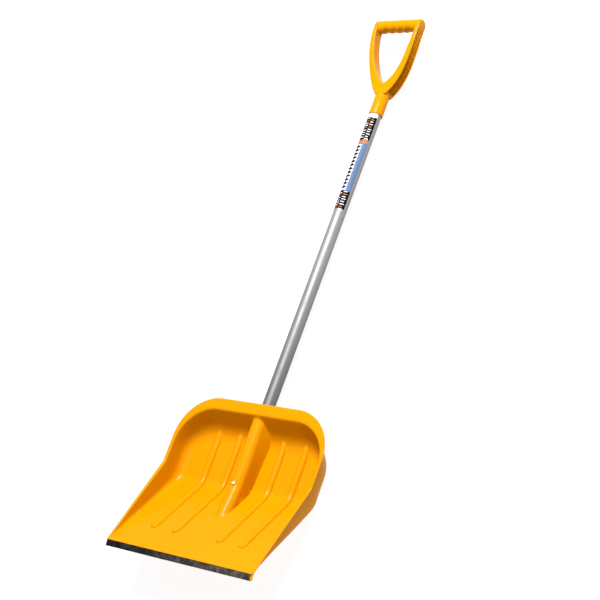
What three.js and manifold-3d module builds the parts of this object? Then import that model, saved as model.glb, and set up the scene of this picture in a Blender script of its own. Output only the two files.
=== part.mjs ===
// Snow shovel with a moulded plastic scoop, a steel wear strip, an aluminium shaft and a D-grip.
// Millimetres. Working axes: X across the scoop, Y along the shaft towards the grip, Z up out of
// the scoop's open side, with the shaft's centre line on X = Z = 0 and the floor's crease at Y = 0.
// The shovel lies on its back; the exported group moves it so that its box stands on Z = 0.
import * as THREE from "three";
import { mergeVertices } from "three/addons/utils/BufferGeometryUtils.js";
import Module from "manifold-3d";

const wasm = await Module();
wasm.setup();

// ---- driving dimensions -------------------------------------------------------------------
const GAP = 0.3; // clearance between touching pieces

const SHAFT_RADIUS = 14;
const SHAFT_WALL = 1.6;
const SHAFT_START = -22; // lower end, inside the socket
const SHAFT_END = 968; // upper end, inside the grip's collar

const FLOOR_DEPTH = 22.5; // rear floor below the shaft's centre line
const FRONT_SLOPE = THREE.MathUtils.degToRad(35.5); // front floor against the shaft
const FRONT_LENGTH = 223; // crease to lip, along the front floor
const CREASE_BLEND = 17; // half length of the curve at the crease
const WALL = 3; // thickness of the moulding
const POLE_X = 126; // centres of the rear corners' floor curves
const POLE_Y = 58;
const BASE_RADIUS = 60; // rear corners, where floor and wall would meet
const RIM_HEIGHT = 28.3; // top of the rim above the shaft's centre line
const RIM_INNER_X = 189.5; // inner edge of the rim
const RIM_INNER_Y = 152.7;
const RIM_INNER_RADIUS = 85;
const RIM_OUTER_X = 196; // outer edge of the rim
const RIM_OUTER_Y = 177;
const RIM_OUTER_RADIUS = 95;
const RIM_KINK_Y = 20; // the rim is level behind this and runs down to the lip before it
const FRONT_INNER_X = 187.6; // the same edges at the lip
const FRONT_OUTER_X = 190.5;
const FRONT_BASE_SETBACK = 1.5; // floor's edge inside the wall's at the lip
const FLOOR_FILLET = 14;
const REAR_FILLET = 24;
const EDGE_FILLET = 4;
const CORNER_STEPS = 7; // facets round each rear corner
// distances up the front floor where the sheet has a row: close together where the hump runs out
const FRONT_ROWS = [200, 178, 162, 150, 128, 110, 97, 93, 86, 74, 60, 45, 30];

const LIP_DROP = THREE.MathUtils.degToRad(8); // the lip against the shaft
const LIP_LENGTH = 12.6;
const LIP_REBATE = 1.5; // step that the strip sits in
const LIP_THICKNESS = 3.9;
const REBATE_START = 1.1; // along the lip, just behind the strip's edge
const LIP_FACE_END = 0.2; // along the lip, where its underside turns into the floor's
const STRIP_START = 1.5; // along the lip
const STRIP_LENGTH = 14.4;
const STRIP_UNDER_START = 3.2;
const STRIP_SHEET = 1.2;
const STRIP_CHAMFER = 0.8;
const STRIP_LEFT = -189.6;
const STRIP_RIGHT = 186.6; // the strip stops short of the right corner

const RIB_X = [-116, -58, 58, 116];
const RIB_HALF_WIDTH = 7;
const RIB_HEIGHT = 3.6;
const RIB_FRONT = -133; // Y of the rounded front ends
const RIB_REAR = 118;

const HUMP_CREST = 21.8; // top of the hump above the shaft's centre line
const HUMP_CREST_RISE = 0.125; // the crest rises this much per millimetre before the crease
const HUMP_RADIUS = 17;
const HUMP_FLANK_X = 16.2; // the crown turns into the flanks here
const HUMP_BASE_X = 17.3; // foot of the flanks at the crease
const HUMP_BASE_SPREAD = 7.5; // extra half width of the foot at HUMP_SPREAD_Y
const HUMP_SPREAD_Y = 100;
const HUMP_FILLET = 3;
const HUMP_REACH_X = 40; // nothing of the hump lies outside this
const HUMP_REACH_Y = 150.7; // or behind this
const HUMP_LINES = [0, 9, 14, HUMP_FLANK_X, HUMP_BASE_X, 20, 23.5, 27.5]; // lines over each half
const HUMP_SKIN = 2.4;
const HUMP_ROOF = 6; // crown's thickness
const SOCKET_RADIUS = 16.4;
const SOCKET_START = -26;
const SOCKET_END = 128;
const SCREW_Y = 3;
const SCREW_RADIUS = 2.2;
const SCREW_TAPER = 2; // length of its point
const SCREW_HEAD_RADIUS = 4.6;
const SCREW_HEAD_HEIGHT = 2.4;
const SOCKET_SCREW_LENGTH = 13;
const GRIP_SCREW_LENGTH = 8;

const RIVET_X = [-168, -84, 0, 84, 168];
const RIVET_RADIUS = 1.6;
const RIVET_HEAD_RADIUS = 3.4;
const RIVET_HEAD_HEIGHT = 1.1;
const RIVET_ALONG = 7.6; // place of the rivets along the lip
const RIVET_TOP = -1.9; // their upset ends lie just under the lip's upper face

const COLLAR_START = 902;
const COLLAR_END = 962;
const COLLAR_OVERRUN = 8; // the collar's round runs this far up into the grip
const COLLAR_RADIUS = 16.4;
const GRIP_BEND_START = 950;
const GRIP_BEND_END = 1125;
const GRIP_FORWARD = 29; // the bend lifts the grip this far above the shaft's centre line
const GRIP_DEPTH = 30; // over the arms' lower halves
const GRIP_TOP_DEPTH = 28;
const GRIP_TAPER_START = 1030; // the arms get shallower from here to the crossbar
const GRIP_EDGE = 2.5; // rounding along the arms' edges
const GRIP_CROTCH_Y = 980;
const GRIP_HALF_WIDTH = 62.5;
// curves of the arms' outlines, as X and the distance along the shaft from the place named
const OUTER_START = [14, -8]; // from the collar's end
const OUTER_FLARE = [34, 13];
const OUTER_SHOULDER = [64, -88]; // from the crossbar's middle
const OUTER_END_Y = 4;
const INNER_START_X = 0.6; // at the crotch
const INNER_FLARE = [25, 16]; // from the crotch
const INNER_SHOULDER = [48, 62];
const INNER_END = [52, -6]; // from the crossbar's middle
const CROSSBAR_Y = 1124.6;
const CROSSBAR_RADIUS = 15.2;
const CROSSBAR_EDGE = 4; // rounding of its ends
const FINGER_PITCH = 20;
const FINGER_COUNT = 4;
const FINGER_DEPTH = 2.4;
const GRIP_SCREW_Y = 936;

const LABEL_START = 658;
const LABEL_END = 901;
const LABEL_THICKNESS = 0.3;
const LABEL_MIDDLE = THREE.MathUtils.degToRad(93); // round the shaft, from +X towards +Z
const LABEL_HALF_ANGLE = THREE.MathUtils.degToRad(66);

// ---- materials ------------------------------------------------------------------------------
const yellowPlastic = new THREE.MeshStandardMaterial({ color: 0xffb400, roughness: 0.42 });
const steel = new THREE.MeshStandardMaterial({ color: 0x4a4744, roughness: 0.5, metalness: 0.9 });
const aluminium = new THREE.MeshStandardMaterial({ color: 0xb4b5b6, roughness: 0.38, metalness: 1 });
const zinc = new THREE.MeshStandardMaterial({ color: 0xc9c6bd, roughness: 0.35, metalness: 1 });
const printedFilm = new THREE.MeshStandardMaterial({ color: 0x9fb2c8, roughness: 0.3 });

// ---- solids ---------------------------------------------------------------------------------
function solidOf(geometry) {
  const bare = (geometry.index ? geometry.toNonIndexed() : geometry).clone();
  bare.deleteAttribute("normal");
  bare.deleteAttribute("uv");
  const merged = mergeVertices(bare, 1e-4);
  return new wasm.Manifold(
    new wasm.Mesh({
      numProp: 3,
      vertProperties: merged.attributes.position.array,
      triVerts: new Uint32Array(merged.index.array),
    }),
  );
}

function geometryOf(solid) {
  const mesh = solid.getMesh();
  const geometry = new THREE.BufferGeometry();
  geometry.setAttribute("position", new THREE.BufferAttribute(mesh.vertProperties, 3));
  geometry.setIndex(new THREE.BufferAttribute(mesh.triVerts, 1));
  geometry.computeVertexNormals();
  return geometry;
}

function rodAlongY(radius, start, end, sides = 28) {
  const rod = new THREE.CylinderGeometry(radius, radius, end - start, sides);
  return rod.translate(0, (start + end) / 2, 0);
}

function rodAlongZ(radius, start, end, sides = 16) {
  return rodAlongY(radius, start, end, sides).rotateX(Math.PI / 2);
}

const mix = THREE.MathUtils.lerp;
const clamp = THREE.MathUtils.clamp;

// Point of a curve that leaves a towards the corner b and arrives at c.
function cornerCurve(a, b, c, t) {
  return a.map((value, i) => (1 - t) ** 2 * value + 2 * t * (1 - t) * b[i] + t ** 2 * c[i]);
}

// Larger of two heights, with a fillet of about the given size where they cross.
function blendUp(a, b, size) {
  const overlap = Math.max(size - Math.abs(a - b), 0);
  return Math.max(a, b) + (overlap * overlap) / (4 * size);
}

// ---- scoop ----------------------------------------------------------------------------------
const slopeAlong = [-Math.cos(FRONT_SLOPE), Math.sin(FRONT_SLOPE)]; // (Y, Z) up the front floor
const lipAlong = [-Math.cos(LIP_DROP), -Math.sin(LIP_DROP)];
const lipUp = [-Math.sin(LIP_DROP), Math.cos(LIP_DROP)];
const lipCorner = [FRONT_LENGTH * slopeAlong[0], FRONT_LENGTH * slopeAlong[1] - FLOOR_DEPTH];

// Place on the lip, as (Y, Z): along it from its corner, and above its upper face.
function onLip(along, above) {
  return [0, 1].map((i) => lipCorner[i] + along * lipAlong[i] + above * lipUp[i]);
}

// The floor's middle line from the lip's tip back to the rear corners' centres, as (Y, Z) rows.
function floorRows() {
  const onFront = (distance) => [distance * slopeAlong[0], distance * slopeAlong[1] - FLOOR_DEPTH];
  const rows = [onLip(LIP_LENGTH, 0), onLip(1.2, 0), onLip(0.9, 0)];
  for (const t of [0.5, 1]) {
    rows.push(cornerCurve(rows[2], lipCorner, onFront(FRONT_LENGTH - 4), t));
  }
  rows.push(...FRONT_ROWS.map(onFront));
  const before = onFront(CREASE_BLEND);
  const after = [CREASE_BLEND, -FLOOR_DEPTH];
  for (const t of [0, 0.25, 0.5, 0.75, 1]) {
    rows.push(cornerCurve(before, [0, -FLOOR_DEPTH], after, t));
  }
  rows.push([36, -FLOOR_DEPTH], [POLE_Y, -FLOOR_DEPTH]);
  return rows;
}

// Height of the rim over the place Y.
function rimHeight(y) {
  const run = (y - RIM_KINK_Y) / (lipCorner[0] - RIM_KINK_Y);
  return mix(RIM_HEIGHT, lipCorner[1], clamp(run, 0, 1));
}

// Height of the socket hump: a round crown with steep flanks that spread towards the back wall.
// Its inner face is the same shape, narrower by the skin and lower by the roof.
function humpHeight(x, y, skin, roof) {
  const radius = HUMP_RADIUS - skin;
  const flankX = HUMP_FLANK_X - skin;
  const spread = clamp(y / HUMP_SPREAD_Y, 0, 1.2) ** 1.5;
  const baseX = HUMP_BASE_X - skin + HUMP_BASE_SPREAD * spread;
  const centre = HUMP_CREST + HUMP_CREST_RISE * Math.max(-y, 0) - roof - radius;
  const side = Math.abs(x);
  if (side <= flankX) return centre + Math.sqrt(radius ** 2 - side ** 2);
  const shoulder = centre + Math.sqrt(radius ** 2 - flankX ** 2);
  return mix(shoulder, -FLOOR_DEPTH, (side - flankX) / (baseX - flankX));
}

// Height of the raised ribs above the floor.
function ribHeight(x, y) {
  const across = Math.min(...RIB_X.map((ribX) => Math.abs(x - ribX))) / RIB_HALF_WIDTH;
  const frontEnd = Math.max(RIB_FRONT + RIB_HALF_WIDTH - y, 0) / RIB_HALF_WIDTH;
  const rearEnd = Math.max(y - (RIB_REAR - 3 * RIB_HALF_WIDTH), 0) / (3 * RIB_HALF_WIDTH);
  const reach = Math.hypot(across, frontEnd, rearEnd);
  return reach >= 1 ? 0 : RIB_HEIGHT * Math.cos((reach * Math.PI) / 2) ** 0.8;
}

// Profile from the floor's middle region out to the rim, as (outward, Z) pairs.
function wallProfile({ floorZ, rimZ, base, inner, outer, fillet }) {
  const height = Math.max(rimZ - floorZ, 0);
  const wallLength = Math.hypot(inner - base, height);
  const reach = Math.min(fillet, 0.45 * wallLength);
  const along = wallLength > 0 ? [(inner - base) / wallLength, height / wallLength] : [1, 0];
  const edge = Math.min(EDGE_FILLET, 0.45 * wallLength, 0.6 * (outer - inner));
  const top = [inner, floorZ + height];
  const footIn = [base - reach, floorZ];
  const footUp = [base + reach * along[0], floorZ + reach * along[1]];
  const edgeDown = [inner - edge * along[0], top[1] - edge * along[1]];
  const edgeOut = [inner + edge, top[1]];
  const profile = [[0, floorZ], [0.55 * (base - reach), floorZ]];
  for (const t of [0, 0.25, 0.5, 0.75, 1]) profile.push(cornerCurve(footIn, [base, floorZ], footUp, t));
  profile.push([mix(footUp[0], edgeDown[0], 0.5), mix(footUp[1], edgeDown[1], 0.5)]);
  for (const t of [0, 0.5, 1]) profile.push(cornerCurve(edgeDown, top, edgeOut, t));
  profile.push([outer, top[1]]);
  return profile;
}

// Y of a rounded outline over the place x, behind the rear corners' poles.
function outlineY(x, straightX, straightY, radius) {
  const beyond = Math.max(Math.abs(x) - (straightX - radius), 0);
  return straightY - radius + Math.sqrt(radius ** 2 - beyond ** 2);
}

// Distance from the rear corner's pole to a rounded outline, in the direction (cos, sin).
function reachOutline(angle, straightX, straightY, radius) {
  const direction = [Math.cos(angle), Math.sin(angle)];
  const centre = [straightX - radius - POLE_X, straightY - radius - POLE_Y];
  const along = centre[0] * direction[0] + centre[1] * direction[1];
  const offLine = centre[0] ** 2 + centre[1] ** 2 - along ** 2;
  const onArc = along + Math.sqrt(Math.max(radius ** 2 - offLine, 0));
  const place = direction.map((value, i) => onArc * value - centre[i]);
  if (place[0] >= 0 && place[1] >= 0) return onArc;
  return place[0] < 0 ? (straightY - POLE_Y) / direction[1] : (straightX - POLE_X) / direction[0];
}

function sideProfile([y, z]) {
  const run = clamp((y - lipCorner[0]) / (RIM_KINK_Y - lipCorner[0]), 0, 1);
  const inner = mix(FRONT_INNER_X, RIM_INNER_X, run) - POLE_X;
  const outer = mix(FRONT_OUTER_X, RIM_OUTER_X, run) - POLE_X;
  const base = mix(inner - FRONT_BASE_SETBACK, BASE_RADIUS, run);
  const rimZ = y < lipCorner[0] ? z : Math.max(rimHeight(y), z);
  return wallProfile({ floorZ: z, rimZ, base, inner, outer, fillet: FLOOR_FILLET });
}

function rearProfile(inner, outer, fillet) {
  return wallProfile({ floorZ: -FLOOR_DEPTH, rimZ: RIM_HEIGHT, base: BASE_RADIUS, inner, outer, fillet });
}

function cornerProfile(angle) {
  const inner = reachOutline(angle, RIM_INNER_X, RIM_INNER_Y, RIM_INNER_RADIUS);
  const outer = reachOutline(angle, RIM_OUTER_X, RIM_OUTER_Y, RIM_OUTER_RADIUS);
  return rearProfile(inner, outer, mix(FLOOR_FILLET, REAR_FILLET, Math.sin(angle) ** 2));
}

function backProfile(x) {
  const inner = outlineY(x, RIM_INNER_X, RIM_INNER_Y, RIM_INNER_RADIUS) - POLE_Y;
  const outer = outlineY(x, RIM_OUTER_X, RIM_OUTER_Y, RIM_OUTER_RADIUS) - POLE_Y;
  return rearProfile(inner, outer, REAR_FILLET);
}

// The moulding's sheet as a grid: columns go round the scoop from the left lip to the right lip,
// and each column's points go from the floor's middle region out to the rim.
function sweepColumns(rows, acrossX) {
  const side = (sign, row) => sideProfile(row).map(([o, z]) => [sign * (POLE_X + o), row[0], z]);
  const corner = (sign, step) => {
    const angle = (step * Math.PI) / 2 / CORNER_STEPS;
    const place = ([o, z]) => [sign * (POLE_X + o * Math.cos(angle)), POLE_Y + o * Math.sin(angle), z];
    return cornerProfile(angle).map(place);
  };
  const steps = Array.from({ length: CORNER_STEPS - 1 }, (_, i) => i + 1);
  return [
    ...rows.map((row) => side(-1, row)),
    ...steps.map((step) => corner(-1, step)),
    ...acrossX.map((x) => backProfile(x).map(([o, z]) => [x, POLE_Y + o, z])),
    ...[...steps].reverse().map((step) => corner(1, step)),
    ...[...rows].reverse().map((row) => side(1, row)),
  ];
}

// Lines that run along the scoop: close together over the hump and the ribs.
function linesAcross() {
  const half = [...HUMP_LINES];
  for (const ribX of RIB_X.filter((x) => x > 0)) {
    half.push(...[-1, -0.5, 0, 0.5, 1].map((step) => ribX + step * RIB_HALF_WIDTH));
  }
  half.push(POLE_X);
  return [...half.slice(1).map((x) => -x).reverse(), ...half];
}

// Faces of the sheet: a block of rows by lines, and the sweep round it, which shares its edge.
function sheetFaces(rows, acrossX, add) {
  const faces = [];
  const quad = (a, b, c, d) => faces.push([a, b, c], [a, c, d]);
  const floor = rows.map(([y, z]) => acrossX.map((x) => add([x, y, z])));
  const lastRow = floor[floor.length - 1];
  const [leftPole, rightPole] = [lastRow[0], lastRow[lastRow.length - 1]];
  const firsts = [
    ...floor.map((line) => line[0]),
    ...Array(CORNER_STEPS - 1).fill(leftPole),
    ...lastRow,
    ...Array(CORNER_STEPS - 1).fill(rightPole),
    ...floor.map((line) => line[line.length - 1]).reverse(),
  ];
  const columns = sweepColumns(rows, acrossX);
  const rings = columns.map((column, c) => [firsts[c], ...column.slice(1).map(add)]);

  for (let j = 0; j + 1 < floor.length; j++) {
    const [near, far] = [floor[j], floor[j + 1]];
    for (let i = 0; i + 1 < near.length; i++) quad(near[i], near[i + 1], far[i + 1], far[i]);
  }
  for (let c = 0; c + 1 < rings.length; c++) {
    const [ring, next] = [rings[c], rings[c + 1]];
    if (ring[0] === next[0]) faces.push([ring[0], next[1], ring[1]]);
    else quad(ring[0], next[0], next[1], ring[1]);
    for (let k = 1; k + 1 < ring.length; k++) quad(ring[k], next[k], next[k + 1], ring[k + 1]);
  }
  const lastRing = rings[rings.length - 1];
  const outline = [
    ...rings.map((ring) => ring[ring.length - 1]),
    ...[...lastRing].reverse().slice(1),
    ...[...floor[0]].reverse().slice(1),
    ...rings[0].slice(1, -1),
  ];
  return { faces, outline };
}

function upperPoint([x, y, z]) {
  if (y < onLip(REBATE_START, 0)[0]) return [x, y - LIP_REBATE * lipUp[0], z - LIP_REBATE * lipUp[1]];
  const raised = z + (Math.abs(x) < POLE_X ? ribHeight(x, y) : 0);
  const onHump = Math.abs(x) < HUMP_REACH_X && y < HUMP_REACH_Y;
  return [x, y, onHump ? blendUp(raised, humpHeight(x, y, 0, 0), HUMP_FILLET) : raised];
}

// Lower face: the sheet moved down along its normal, hollow under the hump.
function lowerPoint([x, y, z], normal) {
  if (y < onLip(-LIP_FACE_END, 0)[0]) {
    return [x, y - LIP_THICKNESS * lipUp[0], z - LIP_THICKNESS * lipUp[1]];
  }
  const moved = [x - WALL * normal[0], y - WALL * normal[1], z - WALL * normal[2]];
  const onHump = Math.abs(x) < HUMP_REACH_X && y < HUMP_REACH_Y;
  if (onHump) moved[2] = blendUp(moved[2], humpHeight(x, y, HUMP_SKIN, HUMP_ROOF), HUMP_FILLET);
  return moved;
}

function scoopShell() {
  const points = [];
  const add = (point) => points.push(point) - 1;
  const { faces, outline } = sheetFaces(floorRows(), linesAcross(), add);

  const sheet = new THREE.BufferGeometry();
  sheet.setAttribute("position", new THREE.Float32BufferAttribute(points.flat(), 3));
  sheet.setIndex(faces.flat());
  sheet.computeVertexNormals();
  const normals = sheet.attributes.normal;
  const upper = points.map(upperPoint);
  const lower = points.map((point, i) =>
    lowerPoint(point, [normals.getX(i), normals.getY(i), normals.getZ(i)]),
  );

  const count = points.length;
  const allFaces = [...faces, ...faces.map(([a, b, c]) => [a + count, c + count, b + count])];
  outline.forEach((a, i) => {
    const b = outline[(i + 1) % outline.length];
    allFaces.push([a, b, b + count], [a, b + count, a + count]);
  });
  const shell = new THREE.BufferGeometry();
  shell.setAttribute("position", new THREE.Float32BufferAttribute([...upper, ...lower].flat(), 3));
  shell.setIndex(allFaces.flat());
  return shell;
}

function makeScoop() {
  let scoop = solidOf(scoopShell());
  scoop = scoop.add(solidOf(rodAlongY(SOCKET_RADIUS, SOCKET_START, SOCKET_END)));
  const bore = rodAlongY(SHAFT_RADIUS + GAP, SHAFT_START - GAP, RIM_OUTER_Y + WALL);
  scoop = scoop.subtract(solidOf(bore));
  const screwHole = rodAlongZ(SCREW_RADIUS + GAP, 0, HUMP_CREST + WALL);
  scoop = scoop.subtract(solidOf(screwHole.translate(0, SCREW_Y, 0)));
  for (const x of RIVET_X) scoop = scoop.subtract(solidOf(rivetHole(x, RIVET_RADIUS + GAP)));
  return geometryOf(scoop);
}

// ---- wear strip and its rivets --------------------------------------------------------------
// Turns a piece drawn with X across, Y along the lip and Z above it, into its place on the lip.
function placeOnLip(geometry) {
  const frame = new THREE.Matrix4().makeBasis(
    new THREE.Vector3(-1, 0, 0),
    new THREE.Vector3(0, ...lipAlong),
    new THREE.Vector3(0, ...lipUp),
  );
  return geometry.applyMatrix4(frame).translate(0, ...lipCorner);
}

// A folded sheet: over the lip, round its tip and back along its underside.
function makeStrip() {
  const under = -LIP_THICKNESS - GAP;
  const outer = under - STRIP_SHEET;
  const inside = [
    [STRIP_START, -STRIP_SHEET],
    [LIP_LENGTH + GAP, -STRIP_SHEET],
    [LIP_LENGTH + GAP, under],
    [STRIP_UNDER_START, under],
  ];
  const outside = [
    [STRIP_UNDER_START, outer],
    [STRIP_LENGTH - STRIP_CHAMFER, outer],
    [STRIP_LENGTH, outer + STRIP_CHAMFER],
    [STRIP_LENGTH, -STRIP_CHAMFER],
    [STRIP_LENGTH - STRIP_CHAMFER, 0],
    [STRIP_START, 0],
  ];
  const corners = [...inside, ...outside].map((corner) => new THREE.Vector2(...corner));
  const section = new THREE.Shape(corners);
  const length = STRIP_RIGHT - STRIP_LEFT;
  const bar = new THREE.ExtrudeGeometry(section, { depth: length, bevelEnabled: false });
  // section axes onto (Y, Z), extrusion onto X
  bar.applyMatrix4(
    new THREE.Matrix4().makeBasis(
      new THREE.Vector3(0, 1, 0),
      new THREE.Vector3(0, 0, 1),
      new THREE.Vector3(1, 0, 0),
    ),
  );
  let strip = solidOf(placeOnLip(bar.translate(-STRIP_RIGHT, 0, 0)));
  for (const x of RIVET_X) strip = strip.subtract(solidOf(rivetHole(x, RIVET_RADIUS + GAP)));
  return geometryOf(strip);
}

function rivetHole(x, radius) {
  const hole = rodAlongZ(radius, -2 * LIP_THICKNESS, RIVET_TOP + GAP);
  return placeOnLip(hole.translate(-x, RIVET_ALONG, 0));
}

function makeRivet() {
  const seat = -LIP_THICKNESS - 2 * GAP - STRIP_SHEET;
  const profile = [
    [0, RIVET_TOP],
    [RIVET_RADIUS, RIVET_TOP],
    [RIVET_RADIUS, seat],
    [RIVET_HEAD_RADIUS, seat],
    [RIVET_HEAD_RADIUS * 0.8, seat - RIVET_HEAD_HEIGHT * 0.7],
    [0, seat - RIVET_HEAD_HEIGHT],
  ];
  const outline = profile.reverse().map((point) => new THREE.Vector2(...point));
  const rivet = new THREE.LatheGeometry(outline, 16).rotateX(Math.PI / 2);
  return placeOnLip(rivet.translate(0, RIVET_ALONG, 0));
}

// ---- shaft and fixings ----------------------------------------------------------------------
function makeShaft() {
  const bore = rodAlongY(SHAFT_RADIUS - SHAFT_WALL, SHAFT_START - 1, SHAFT_END + 1, 36);
  const holes = [
    rodAlongZ(SCREW_RADIUS + GAP, 0, 20).translate(0, SCREW_Y, 0),
    rodAlongZ(SCREW_RADIUS + GAP, -20, 0).translate(0, GRIP_SCREW_Y, 0),
  ];
  let shaft = solidOf(rodAlongY(SHAFT_RADIUS, SHAFT_START, SHAFT_END, 36));
  for (const tool of [bore, ...holes]) shaft = shaft.subtract(solidOf(tool));
  return geometryOf(shaft);
}

// A pan-head screw that points down the Y axis of its own frame, its head's seat at 0.
function makeScrew(length) {
  const profile = [
    [0, -length],
    [SCREW_RADIUS * 0.4, -length],
    [SCREW_RADIUS, -length + SCREW_TAPER],
    [SCREW_RADIUS, 0],
    [SCREW_HEAD_RADIUS, 0],
    [SCREW_HEAD_RADIUS, SCREW_HEAD_HEIGHT * 0.45],
    [SCREW_HEAD_RADIUS * 0.75, SCREW_HEAD_HEIGHT * 0.88],
    [0, SCREW_HEAD_HEIGHT],
  ];
  return new THREE.LatheGeometry(profile.map((point) => new THREE.Vector2(...point)), 18);
}

// ---- grip -----------------------------------------------------------------------------------
// The grip's middle surface leaves the shaft's line and bends forward to the crossbar.
function gripRise(y) {
  const run = clamp((y - GRIP_BEND_START) / (GRIP_BEND_END - GRIP_BEND_START), 0, 1);
  return GRIP_FORWARD * (0.5 - 0.5 * Math.cos(run * Math.PI));
}

function gripDepth(y) {
  const run = (y - GRIP_TAPER_START) / (CROSSBAR_Y - GRIP_TAPER_START);
  return mix(GRIP_DEPTH, GRIP_TOP_DEPTH, clamp(run, 0, 1));
}

function gripOutline() {
  const from = (start, [x, along]) => new THREE.Vector2(x, start + along);
  const outer = new THREE.CubicBezierCurve(
    from(COLLAR_END, OUTER_START),
    from(COLLAR_END, OUTER_FLARE),
    from(CROSSBAR_Y, OUTER_SHOULDER),
    from(CROSSBAR_Y, [GRIP_HALF_WIDTH - 1, OUTER_END_Y]),
  ).getPoints(16);
  const inner = new THREE.CubicBezierCurve(
    from(GRIP_CROTCH_Y, [INNER_START_X, 0]),
    from(GRIP_CROTCH_Y, INNER_FLARE),
    from(GRIP_CROTCH_Y, INNER_SHOULDER),
    from(CROSSBAR_Y, INNER_END),
  ).getPoints(14);
  const mirrored = (points) => points.map(({ x, y }) => new THREE.Vector2(-x, y)).reverse();
  const shape = new THREE.Shape([...outer, ...mirrored(outer)]);
  shape.holes.push(new THREE.Path([...mirrored(inner), ...inner]));
  return shape;
}

// The bar's underside has a row of shallow hollows for the fingers.
function makeCrossbar() {
  const end = GRIP_HALF_WIDTH;
  const stations = Math.round((8 * (end - CROSSBAR_EDGE)) / FINGER_PITCH);
  const profile = [new THREE.Vector2(0, -end), new THREE.Vector2(CROSSBAR_RADIUS - CROSSBAR_EDGE, -end)];
  for (let i = 0; i <= stations; i++) {
    const along = mix(CROSSBAR_EDGE - end, end - CROSSBAR_EDGE, i / stations);
    profile.push(new THREE.Vector2(CROSSBAR_RADIUS, along));
  }
  profile.push(new THREE.Vector2(CROSSBAR_RADIUS - CROSSBAR_EDGE, end), new THREE.Vector2(0, end));
  const bar = new THREE.LatheGeometry(profile, 20).rotateZ(-Math.PI / 2);
  const place = bar.attributes.position;
  for (let i = 0; i < place.count; i++) {
    const [x, y] = [place.getX(i), place.getY(i)];
    if (y >= 0 || Math.abs(x) > (FINGER_COUNT * FINGER_PITCH) / 2) continue;
    const hollow = 0.5 - 0.5 * Math.cos((2 * Math.PI * x) / FINGER_PITCH);
    place.setY(i, y + FINGER_DEPTH * hollow * (-y / CROSSBAR_RADIUS));
  }
  return bar.translate(0, CROSSBAR_Y, gripRise(CROSSBAR_Y));
}

function makeGrip() {
  const body = new THREE.ExtrudeGeometry(gripOutline(), {
    depth: GRIP_DEPTH - 2 * GRIP_EDGE,
    bevelThickness: GRIP_EDGE,
    bevelSize: GRIP_EDGE,
    bevelOffset: -GRIP_EDGE,
    bevelSegments: 3,
  }).translate(0, 0, GRIP_EDGE - GRIP_DEPTH / 2);
  const place = body.attributes.position;
  for (let i = 0; i < place.count; i++) {
    const y = place.getY(i);
    place.setZ(i, (place.getZ(i) * gripDepth(y)) / GRIP_DEPTH + gripRise(y));
  }
  const collar = rodAlongY(COLLAR_RADIUS, COLLAR_START, COLLAR_END + COLLAR_OVERRUN, 32);
  const bore = rodAlongY(SHAFT_RADIUS + GAP, COLLAR_START - 1, SHAFT_END + GAP, 32);
  const screwHole = rodAlongZ(SCREW_RADIUS + GAP, -2 * COLLAR_RADIUS, 0).translate(0, GRIP_SCREW_Y, 0);
  let grip = solidOf(body).add(solidOf(makeCrossbar())).add(solidOf(collar));
  grip = grip.subtract(solidOf(bore)).subtract(solidOf(screwHole));
  return geometryOf(grip);
}

// ---- label ----------------------------------------------------------------------------------
function makeLabel() {
  const inside = SHAFT_RADIUS + GAP;
  const from = LABEL_MIDDLE - LABEL_HALF_ANGLE;
  const to = LABEL_MIDDLE + LABEL_HALF_ANGLE;
  const section = new THREE.Shape()
    .absarc(0, 0, inside + LABEL_THICKNESS, from, to, false)
    .absarc(0, 0, inside, to, from, true);
  const film = new THREE.ExtrudeGeometry(section, {
    depth: LABEL_END - LABEL_START,
    bevelEnabled: false,
    curveSegments: 10,
  });
  return film.rotateX(Math.PI / 2).translate(0, LABEL_END, 0);
}

// ---- assembly -------------------------------------------------------------------------------
const shovel = new THREE.Group();

function addPart(name, geometry, material) {
  const mesh = new THREE.Mesh(geometry, material);
  mesh.name = name;
  shovel.add(mesh);
  return mesh;
}

addPart("scoop", makeScoop(), yellowPlastic);
addPart("wear_strip", makeStrip(), steel);
RIVET_X.forEach((x, i) => addPart(`strip_rivet_${i + 1}`, makeRivet(), zinc).position.setX(x));
addPart("shaft", makeShaft(), aluminium);
addPart("grip", makeGrip(), yellowPlastic);
addPart("shaft_label", makeLabel(), printedFilm);

const socketScrew = addPart("socket_screw", makeScrew(SOCKET_SCREW_LENGTH), zinc);
socketScrew.position.set(0, SCREW_Y, HUMP_CREST + GAP);
socketScrew.rotation.x = Math.PI / 2;
const gripScrew = addPart("grip_screw", makeScrew(GRIP_SCREW_LENGTH), zinc);
gripScrew.position.set(0, GRIP_SCREW_Y, -COLLAR_RADIUS - GAP);
gripScrew.rotation.x = -Math.PI / 2;

// the origin is under the middle of the shovel's box
const frontEnd = onLip(STRIP_LENGTH, 0)[0];
const rearEnd = CROSSBAR_Y + CROSSBAR_RADIUS;
shovel.position.set(0, -(frontEnd + rearEnd) / 2, FLOOR_DEPTH + WALL);

export default shovel;
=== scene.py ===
import math

import bmesh
import bpy
from mathutils import Matrix, Vector, noise


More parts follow.
